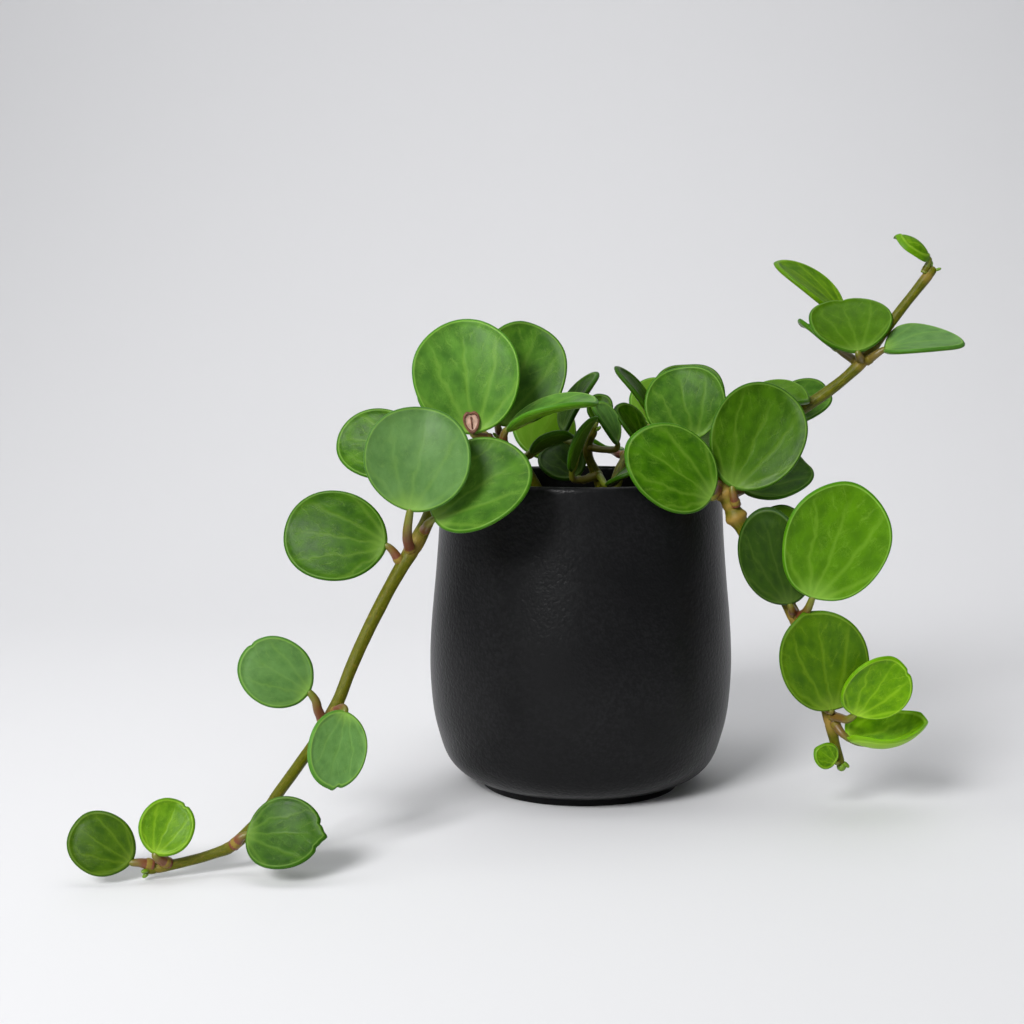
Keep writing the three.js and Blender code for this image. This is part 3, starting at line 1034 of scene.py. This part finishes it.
@dataclass
class Stem:
    """A stem with swollen nodes, from in the soil to its tip.

    Attributes:
        name: the name of its CAD node.
        buds: how many small buds sit at its tip.
        bud_size: the length of a bud.
        ball: the radius of the round bud at its end, if it has one.
        tan: how tan its nodes are, from 0 to 1.
        knobs: shares of its length where it bulges into a pale knob.
    """

    name: str
    buds: int = 2
    bud_size: float = 3.0 * MM
    ball: float = 0.0
    tan: float = 1.0
    knobs: tuple[float, ...] = ()

    AROUND = 20
    PER_SPAN = 7
    ROOT = 5 * MM

    def build(self, node: Piece, skins: Sequence[Skin]) -> Piece:
        """Builds the stem in its solid's place.

        Args:
            node: the stem's CAD node.
            skins: the materials of the stem and of its buds.

        Returns:
            The finished object.
        """
        chance = random.Random(self.name)
        rings = Rings.of(node)
        centres = np.array([section.mean(axis=0) for section in rings.sections])
        radii = np.array([np.linalg.norm(s[0] - s.mean(axis=0)) for s in rings.sections])
        if radii[:3].mean() < radii[-3:].mean():
            centres, radii = centres[::-1], radii[::-1]
        root = centres[0] - unit(centres[1] - centres[0]) * self.ROOT
        centres = np.vstack([root, centres])
        radii = np.concatenate([[radii[0] * 1.1], radii])
        path = smooth_curve(np.column_stack([centres, radii]), self.PER_SPAN)
        ahead = unit(path[-1, :3] - path[-3, :3])
        reaches = np.array([0.35, 0.6, 0.8, 0.93, 0.985])
        caps = path[-1, :3] + np.outer(reaches * path[-1, 3], ahead)
        line = np.vstack([path[:, :3], caps])
        size = np.concatenate([path[:, 3], path[-1, 3] * np.sqrt(1 - reaches**2)])
        gaps = np.linalg.norm(np.diff(line, axis=0), axis=1)
        run = np.concatenate([[0.0], np.cumsum(gaps)])
        trend = np.interp(run, [0, run[-1]], [size[3], path[-1, 3]])
        knot = self.tan * np.clip((size / trend - 1.03) / 0.12, 0, 1)
        for share in self.knobs:
            bulge = np.exp(-(((run - share * run[-1]) / (1.9 * MM)) ** 2))
            size = size * (1 + 0.55 * bulge)
            knot = np.maximum(knot, bulge)
        for peak in self._peaks(knot):
            scar = np.exp(-(((run - run[peak] - 1.2 * MM) / (0.5 * MM)) ** 2))
            size = size * (1 - 0.07 * scar)
        angles = turns_round(self.AROUND)
        phase = chance.uniform(0, FULL_TURN)
        ridges = 1 + 0.022 * np.cos(5 * angles[None, :] + phase + run[:, None] * 60)
        lumps = np.array([[noise.noise(Vector((r * 160, a, phase))) for a in angles] for r in run])
        rough = ridges + 0.05 * lumps
        points, faces = tube(line, size[:, None] * rough, self.AROUND)
        place = np.zeros((len(points), 3))
        place[:-2, 0] = np.repeat(run / 0.05, self.AROUND)
        place[:-2, 1] = np.tile(np.sin(angles), len(line))
        place[:-2, 2] = np.repeat(knot, self.AROUND)
        parts = MeshParts()
        parts.add(points, faces, 0, place=place)
        self._add_buds(parts, line, size, chance)
        return parts.build(f"{self.name}_look", skins)

    @staticmethod
    def _peaks(knot: np.ndarray) -> list[int]:
        """Where the swelling is at its widest, once for each node."""
        inner = range(1, len(knot) - 1)
        return [i for i in inner if knot[i] > 0.3 and knot[i - 1] < knot[i] >= knot[i + 1]]

    def _add_buds(
        self, parts: MeshParts, line: np.ndarray, size: np.ndarray, chance: random.Random
    ) -> None:
        """Adds small pointed buds round the tip."""
        way = unit(line[-7] - line[-10])
        side = unit(np.cross(way, [0.2, 0.9, 0.4]))
        thick = size[-8]
        if self.ball:
            axes = np.array([way, side, np.cross(way, side)]) * self.ball
            points, faces = blob(line[-1] + way * 0.4 * self.ball, axes, 16)
            parts.add(points, faces, 1)
        for k in range(self.buds):
            angle = 2 * math.pi * k / max(self.buds, 1) + chance.uniform(-0.5, 0.5)
            out = math.cos(angle) * side + math.sin(angle) * np.cross(way, side)
            lean = unit(way + 0.7 * out)
            reach = self.bud_size * chance.uniform(0.75, 1.1)
            across = unit(np.cross(lean, side))
            flat = np.cross(lean, across)
            axes = np.array([lean * reach * 0.5, across * reach * 0.3, flat * reach * 0.24])
            points, faces = blob(line[-3] + out * thick * 0.7 + lean * reach * 0.2, axes)
            parts.add(points, faces, 1)


@dataclass
class Pot:
    """The turned pot, rebuilt from its solid's profile with finer steps."""

    AROUND = 192
    PER_SPAN = 6

    def build(self, node: Piece, skin: Skin) -> Piece:
        """Builds the pot in its solid's place."""
        rings = Rings.of(node)
        profile = [(0.0, float(rings.first[2]))]
        for section in rings.sections:
            reach = np.linalg.norm(section[:, :2], axis=1).mean()
            profile.append((float(reach), float(section[:, 2].mean())))
        profile.append((0.0, float(rings.last[2])))
        if profile[0][1] > profile[-1][1]:
            profile.reverse()
        corner = next(i for i, (_, z) in enumerate(profile) if z > 0.5 * MM)
        bottom = np.array(profile[:corner])
        rest = smooth_curve(np.array(profile[corner:]), self.PER_SPAN)
        line = np.vstack([bottom[1:], rest[:-1]])
        angles = turns_round(self.AROUND)
        circle = np.column_stack([np.cos(angles), np.sin(angles)])
        rows = [np.column_stack([reach * circle, np.full(self.AROUND, z)]) for reach, z in line]
        parts = MeshParts()
        parts.add(*closed_body(rows, [0, 0, profile[0][1]], [0, 0, profile[-1][1]]))
        return parts.build("pot_look", [skin])


@dataclass
class Soil:
    """The bed of potting mix: an uneven top with loose crumbs and bark joined to it."""

    crumbs: int = 420
    crumb_sizes: tuple[float, float] = (0.9 * MM, 2.6 * MM)
    unevenness: float = 0.9 * MM
    seed: int = 11

    AROUND = 96
    RINGS = 26

    def build(self, node: Piece, skin: Skin) -> Piece:
        """Builds the bed in its solid's place."""
        low, high = (np.array(corner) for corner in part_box(node.name))
        top = float(high[2])
        rings = Rings.of(node)
        near_top = [ring for ring in rings.sections if ring[:, 2].mean() > top - 3 * MM]
        reach = max(float(np.linalg.norm(ring[:, :2], axis=1).mean()) for ring in near_top)
        parts = MeshParts()
        self._add_bed(parts, reach, top, float(low[2]))
        chance = random.Random(self.seed)
        for _ in range(self.crumbs):
            self._add_crumb(parts, chance, reach, top)
        return parts.build("soil_look", [skin])

    def _height(self, x: float, y: float, top: float) -> float:
        """How high the soil's surface is at a place."""
        rough = noise.fractal(Vector((x * 120, y * 120, 3.1)), 0.6, 2.0, 4)
        return top - 1.2 * MM + self.unevenness * rough

    def _add_bed(self, parts: MeshParts, reach: float, top: float, floor: float) -> None:
        """Adds the uneven top and the plain sides below it."""
        angles = turns_round(self.AROUND)
        points = [(0.0, 0.0, self._height(0, 0, top))]
        for step in range(1, self.RINGS + 1):
            radius = reach * step / self.RINGS
            for angle in angles:
                x, y = radius * math.cos(angle), radius * math.sin(angle)
                points.append((x, y, self._height(x, y, top) - (0.8 * MM if step == self.RINGS else 0)))
        for drop in (top - 12 * MM, top - 30 * MM):
            points.extend((0.985 * reach * math.cos(a), 0.985 * reach * math.sin(a), drop) for a in angles)
        points.append((0.0, 0.0, top - 30 * MM))
        quads = grid_faces(self.RINGS + 2, self.AROUND, closed=True)
        faces = [tuple(1 + i for i in quad) for quad in quads]
        last = len(points) - 1
        start = 1 + (self.RINGS + 1) * self.AROUND
        for k in range(self.AROUND):
            after = (k + 1) % self.AROUND
            faces.append((0, 1 + k, 1 + after))
            faces.append((last, start + after, start + k))
        parts.add(np.array(points), faces)

    def _add_crumb(self, parts: MeshParts, chance: random.Random, reach: float, top: float) -> None:
        """Adds one crumb or chip of bark, half sunk in the bed."""
        radius = (reach - 2 * MM) * math.sqrt(chance.random())
        angle = chance.uniform(0, 2 * math.pi)
        x, y = radius * math.cos(angle), radius * math.sin(angle)
        size = chance.uniform(*self.crumb_sizes)
        turn = Matrix.Rotation(chance.uniform(0, FULL_TURN), 3, "Z")
        turn @= Matrix.Rotation(chance.uniform(-0.5, 0.5), 3, "X")
        flat = chance.uniform(0.35, 0.8)
        long = chance.uniform(1.0, 1.9)
        halves = 0.5 * size * np.array([long, 1.0, flat])
        axes = np.array(turn).T * halves[:, None]
        points, faces = blob(np.array([x, y, self._height(x, y, top) + 0.2 * size * flat]), axes, 7)
        middle = points.mean(axis=0)
        for i, point in enumerate(points):
            points[i] = middle + (point - middle) * chance.uniform(0.78, 1.12)
        parts.add(points, faces)


@dataclass
class Scar:
    """The brown, cup-like stalk end that shows on the front of one leaf, at its base.

    Attributes:
        leaf: the CAD node of the leaf it sits on.
        height: its length along the leaf.
        width: its width across the leaf.
        above: how far its hollow is above the middle of the blade.
    """

    leaf: str = "left_top_leaf"
    height: float = 6.6 * MM
    width: float = 5.7 * MM
    above: float = 1.75 * MM

    AROUND = 40

    def build(self, node: Piece, rim: Skin, hollow: Skin) -> Piece:
        """Builds the cup: a raised heart-shaped rim round a shallow pale hollow with a seam."""
        pose = Pose.of(node, rolled=False)
        along = unit(pose.tip - pose.base)
        side = np.cross(pose.up, along)
        length = float(np.linalg.norm(pose.tip - pose.base))
        share = 0.6 * self.height / length
        lift = 4 * pose.arch * length * share * (1 - share) + self.above
        middle = pose.base + along * share * length + pose.up * lift
        turns = turns_round(self.AROUND)
        heart = 1 - 0.16 * np.exp(-((np.abs(turns - 0.5 * math.pi) / 0.3) ** 2))
        long = np.sin(turns) * heart * 0.5 * self.height
        wide = np.cos(turns) * (0.82 + 0.18 * np.sin(turns)) * 0.5 * self.width
        track = middle + np.outer(long, along) + np.outer(wide, side)
        parts = MeshParts()
        rows = []
        for angle in np.linspace(0, 2 * math.pi, 8, endpoint=False):
            swell = 0.42 * MM * math.cos(angle)
            lift = 0.42 * MM * math.sin(angle)
            rows.append(middle + (track - middle) * (1 + swell / (0.45 * self.width)) + pose.up * lift)
        ring = np.vstack(rows + [rows[0]])
        parts.add(ring, grid_faces(9, self.AROUND, closed=True), 0)
        bowls = [
            middle + (track - middle) * share - pose.up * depth * MM
            for share, depth in ((1, 0.1), (0.6, 0.45), (0.3, 0.5))
        ]
        seam = middle - pose.up * 0.1 * MM
        disc = np.vstack(bowls + [[seam]])
        faces = grid_faces(3, self.AROUND, closed=True)
        inner, heart_of = 2 * self.AROUND, 3 * self.AROUND
        for k in range(self.AROUND):
            faces.append((inner + k, inner + (k + 1) % self.AROUND, heart_of))
        parts.add(disc, faces, 1)
        ends = [middle + along * s * self.height - pose.up * 0.25 * MM for s in (-0.36, 0.0, 0.26)]
        points, faces = tube(smooth_curve(np.array(ends), 4), np.full(9, 0.28 * MM), 6)
        parts.add(points, faces, 0)
        return parts.build("left_top_leaf_scar", [rim, hollow])


def leaf_list() -> list[Leaf]:
    """Every leaf of the plant, with what sets it apart from the others."""
    tip_notch = Notch(180, 0.07, 7)
    side_nick = Notch(212, 0.05, 3)
    low_nick = (Notch(158, 0.05, 4), Notch(168, -0.03, 5))
    lobe = (Notch(160, 0.06, 4), Notch(199, 0.05, 4), Notch(180, -0.11, 6))
    # Each shade is partly the leaf's own tone and partly painted light or painted shade, darker for leaves
    # in shadow such as the centre ones; the sheen shares set a painted grey sheen.
    return [
        Leaf("left_tip_leaf", young=True, shade=0.42),
        Leaf("left_tip_upright_leaf", young=True, painted_sheen=0.1, notches=(Notch(198, 0.06, 3.5),)),
        Leaf("left_floor_leaf", painted_sheen=0.08, shade=0.7, notches=lobe),
        Leaf("left_hanging_leaf", painted_sheen=0.6, shade=1.3, notches=low_nick),
        Leaf("left_middle_leaf", painted_sheen=0.55, notches=(Notch(197, 0.035, 3.5),)),
        Leaf("left_side_leaf", shade=0.78),
        Leaf("left_front_leaf", painted_sheen=0.65, stalk_size=1.1, shade=0.95),
        Leaf("left_rear_side_leaf"),
        Leaf("left_rim_leaf", painted_sheen=0.12),
        Leaf("left_top_leaf", painted_sheen=0.2, shade=1.35),
        Leaf("left_top_rear_leaf", painted_sheen=0.1),
        Leaf("left_inward_leaf", painted_sheen=0.25, shade=1.3),
        Leaf("left_lower_inward_leaf", green_stalk=1.0),
        Leaf("centre_rear_leaf", green_stalk=1.0, shade=0.7),
        Leaf("centre_round_leaf", green_stalk=1.0, shade=0.6),
        Leaf("centre_folded_leaf", painted_sheen=0.4, green_stalk=0.6, shade=1.1),
        Leaf("centre_inner_leaf", green_stalk=1.0, shade=0.5),
        Leaf("centre_narrow_leaf", green_stalk=1.0, shade=0.5),
        Leaf("centre_edge_leaf", painted_sheen=0.6, green_stalk=0.6),
        Leaf("centre_low_leaf", green_stalk=1.0, shade=0.5),
        Leaf("centre_low_rear_leaf", green_stalk=1.0, shade=0.5),
        Leaf("right_front_leaf", painted_sheen=0.1),
        Leaf("right_rear_leaf", shade=0.72),
        Leaf("right_rim_leaf"),
        Leaf("right_upright_leaf", warmth=0.15, shade=0.75),
        Leaf("right_rim_rear_leaf", painted_sheen=0.1),
        Leaf("right_high_leaf", shade=0.85, warmth=0.3),
        Leaf("right_behind_leaf", painted_sheen=0.2),
        Leaf("right_lower_leaf", shade=0.36, warmth=0.1),
        Leaf("right_large_leaf", shade=1.35, warmth=0.25),
        Leaf("right_hidden_leaf"),
        Leaf("right_low_leaf", young=True, green_stalk=0.3, shade=0.6, notches=(Notch(166, -0.05, 9),)),
        Leaf("right_low_young_leaf", young=True, green_stalk=0.4, shade=1.3, notches=(side_nick,)),
        Leaf("right_low_side_leaf", young=True, green_stalk=0.4, shade=1.65, point=0.3),
        Leaf("right_end_leaf", young=True, green_stalk=0.8),
        Leaf("upper_far_leaf", young=True, green_stalk=0.5, shade=0.85),
        Leaf("upper_front_leaf", green_stalk=0.5, warmth=0.35, shade=0.85, notches=(tip_notch,)),
        Leaf("upper_rear_leaf", green_stalk=0.5),
        Leaf("upper_side_leaf", painted_sheen=0.6, green_stalk=0.5, point=0.75, shade=1.1),
        Leaf("upper_curled_leaf", young=True, green_stalk=0.9, rolled=True),
        Leaf("back_left_high_leaf"),
        Leaf("back_left_rim_leaf", notches=(tip_notch,)),
        Leaf("back_left_inner_leaf"),
        Leaf("back_right_high_leaf"),
        Leaf("back_right_rim_leaf"),
        Leaf("back_middle_leaf"),
    ]


def stem_list() -> list[Stem]:
    """Every stem of the plant."""
    return [
        Stem("left_trailing_stem", buds=3, bud_size=3.2 * MM),
        Stem("right_trailing_stem", buds=1, bud_size=3.0 * MM, ball=1.6 * MM, knobs=(0.27, 0.33, 0.39)),
        Stem("upper_right_stem", buds=2, bud_size=3.0 * MM),
        Stem("left_short_stem", tan=0.3),
        Stem("centre_stem", tan=0.3),
        Stem("right_short_stem", tan=0.3),
        Stem("back_left_stem", tan=0.3),
        Stem("back_right_stem", tan=0.3),
    ]


@dataclass
class Plant:
    """The whole potted plant: builds every piece and has it stand for its solid."""

    nodes: dict
    pieces: int = 0

    def build(self) -> None:
        """Builds pot, soil, stems and leaves."""
        nodes = self.nodes
        self._keep(Pot().build(nodes["pot"], PotFinish("pot", roughness=0.34).build()), "pot")
        soil = Soil().build(nodes["soil"], SoilFinish("soil", roughness=0.9).build())
        self._keep(soil, "soil")
        skin = StemFinish("stem", roughness=0.42).build()
        bud = PlainFinish("bud", roughness=0.35, colour=srgb(104, 140, 20), uneven=0.2).build()
        for stem in stem_list():
            self._keep(stem.build(nodes[stem.name], [skin, bud]), stem.name)
        grown = BladeFinish("leaf", roughness=0.4).build()
        young = BladeFinish(
            "young leaf",
            roughness=0.4,
            deep=srgb(58, 102, 0),
            fresh=srgb(90, 134, 0),
            vein=srgb(126, 164, 28),
            margin=srgb(148, 184, 56),
            rim=srgb(84, 132, 0),
            under=srgb(112, 150, 18),
            painted_sheen=srgb(118, 152, 60),
        ).build()
        stalk = StalkFinish("leaf stalk", roughness=0.42).build()
        for leaf in leaf_list():
            blade = young if leaf.young else grown
            self._keep(leaf.build(nodes[leaf.name], [blade, stalk, skin]), leaf.name)
        scar = Scar()
        rim = PlainFinish("scar rim", roughness=0.6, colour=srgb(112, 66, 44), uneven=0.35).build()
        hollow = PlainFinish("scar hollow", roughness=0.6, colour=srgb(196, 158, 136), uneven=0.3).build()
        self._fit(scar.build(nodes[scar.leaf], rim, hollow))

    def _keep(self, piece: Piece, node: str) -> None:
        """Has a piece stand for its CAD node, and fits it."""
        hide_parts(node)
        self._fit(piece)
        self.pieces += 1

    def _fit(self, piece: Piece) -> None:
        """Has a piece ride on the root body, and reports it."""
        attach(piece, "root")
        log.info("%s: %d faces", piece.name, len(piece.data.polygons))


# ---------------------------------------------------------------------------------------------
# The studio
# ---------------------------------------------------------------------------------------------


@dataclass
class Studio:
    """A pale seamless floor and backdrop, soft lights and the camera."""

    floor_depth: float = 0.34
    cove: float = 0.9
    wall_height: float = 2.4
    half_width: float = 3.0
    camera_at: tuple[float, float, float] = (-0.0242, -0.58, 0.155)
    camera_pitch: float = 5.79
    lens: float = 58.25

    def build(self) -> None:
        """Sets up everything round the plant."""
        self._backdrop()
        self._light("key light", (-0.62, -1.1, 0.8), 0.5, 4.1, 75)
        self._light("front light", (0.25, -1.5, 1.1), 1.2, 0.8, 180)
        self._light("side light", (-1.2, -0.1, 0.8), 0.6, 0.7, 90)
        self._light("top light", (0.15, 0.2, 1.7), 2.0, 5.2, 180)
        self._light("wall light", (-0.25, 0.4, 1.5), 1.6, 8.2, 150, toward=(-0.25, 1.3, 0.35))
        self._world(0.18)
        self._camera()
        view = bpy.context.scene.view_settings
        view.view_transform = "Standard"
        view.look = "None"

    def _backdrop(self) -> None:
        """A floor that curves up into a wall."""
        profile = [(-1.6, 0.0), (-0.5, 0.0), (self.floor_depth, 0.0)]
        for turn in np.linspace(0, 0.5 * math.pi, 25)[1:]:
            away, rise = self.cove * math.sin(turn), self.cove * (1 - math.cos(turn))
            profile.append((self.floor_depth + away, rise))
        profile.append((self.floor_depth + self.cove, self.wall_height))
        points = [(x, y, z) for y, z in profile for x in (-self.half_width, self.half_width)]
        parts = MeshParts()
        parts.add(np.array(points), grid_faces(len(profile), 2, closed=False))
        paper = PlainFinish("backdrop paper", roughness=0.85, colour=(0.72, 0.72, 0.735, 1.0)).build()
        floor = parts.build("backdrop", [paper])

    def _light(
        self,
        name: str,
        at: tuple[float, float, float],
        size: float,
        power: float,
        spread: float,
        toward: tuple[float, float, float] = (0, 0, 0.08),
    ) -> None:
        """Adds a square soft light, aimed at the plant unless told otherwise.

        Args:
            name: its name.
            at: where it hangs.
            size: the length of its side.
            power: its power in watts.
            spread: how wide it shines, in degrees.
            toward: what it is aimed at.
        """
        data = bpy.data.lights.new(name, "AREA")
        data.shape = "SQUARE"
        data.size = size
        data.energy = power
        data.spread = math.radians(spread)
        light = bpy.data.objects.new(name, data)
        light.location = at
        light.rotation_euler = (Vector(toward) - Vector(at)).to_track_quat("-Z", "Y").to_euler()
        bpy.context.scene.collection.objects.link(light)

    def _world(self, strength: float) -> None:
        """An even pale light from all round."""
        world = bpy.data.worlds.new("studio")
        world.use_nodes = True
        ground = world.node_tree.nodes["Background"]
        ground.inputs["Color"].default_value = (0.95, 0.97, 1.0, 1.0)
        ground.inputs["Strength"].default_value = strength
        bpy.context.scene.world = world

    def _camera(self) -> None:
        """A camera a little above the plant, looking slightly down."""
        data = bpy.data.cameras.new("camera")
        data.lens = self.lens
        data.sensor_width = 36.0
        camera = bpy.data.objects.new("camera", data)
        camera.location = self.camera_at
        camera.rotation_euler = (math.radians(90 - self.camera_pitch), 0.0, 0.0)
        bpy.context.scene.collection.objects.link(camera)
        bpy.context.scene.camera = camera


def main() -> None:
    """Builds the plant and the studio."""
    logging.basicConfig(level=logging.INFO, format="%(name)s: %(message)s")
    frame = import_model()
    plant = Plant(frame["nodes"])
    plant.build()
    Studio().build()
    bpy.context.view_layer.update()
    log.info("%d pieces stand for their solids", plant.pieces)


if __name__ == "__main__":
    main()
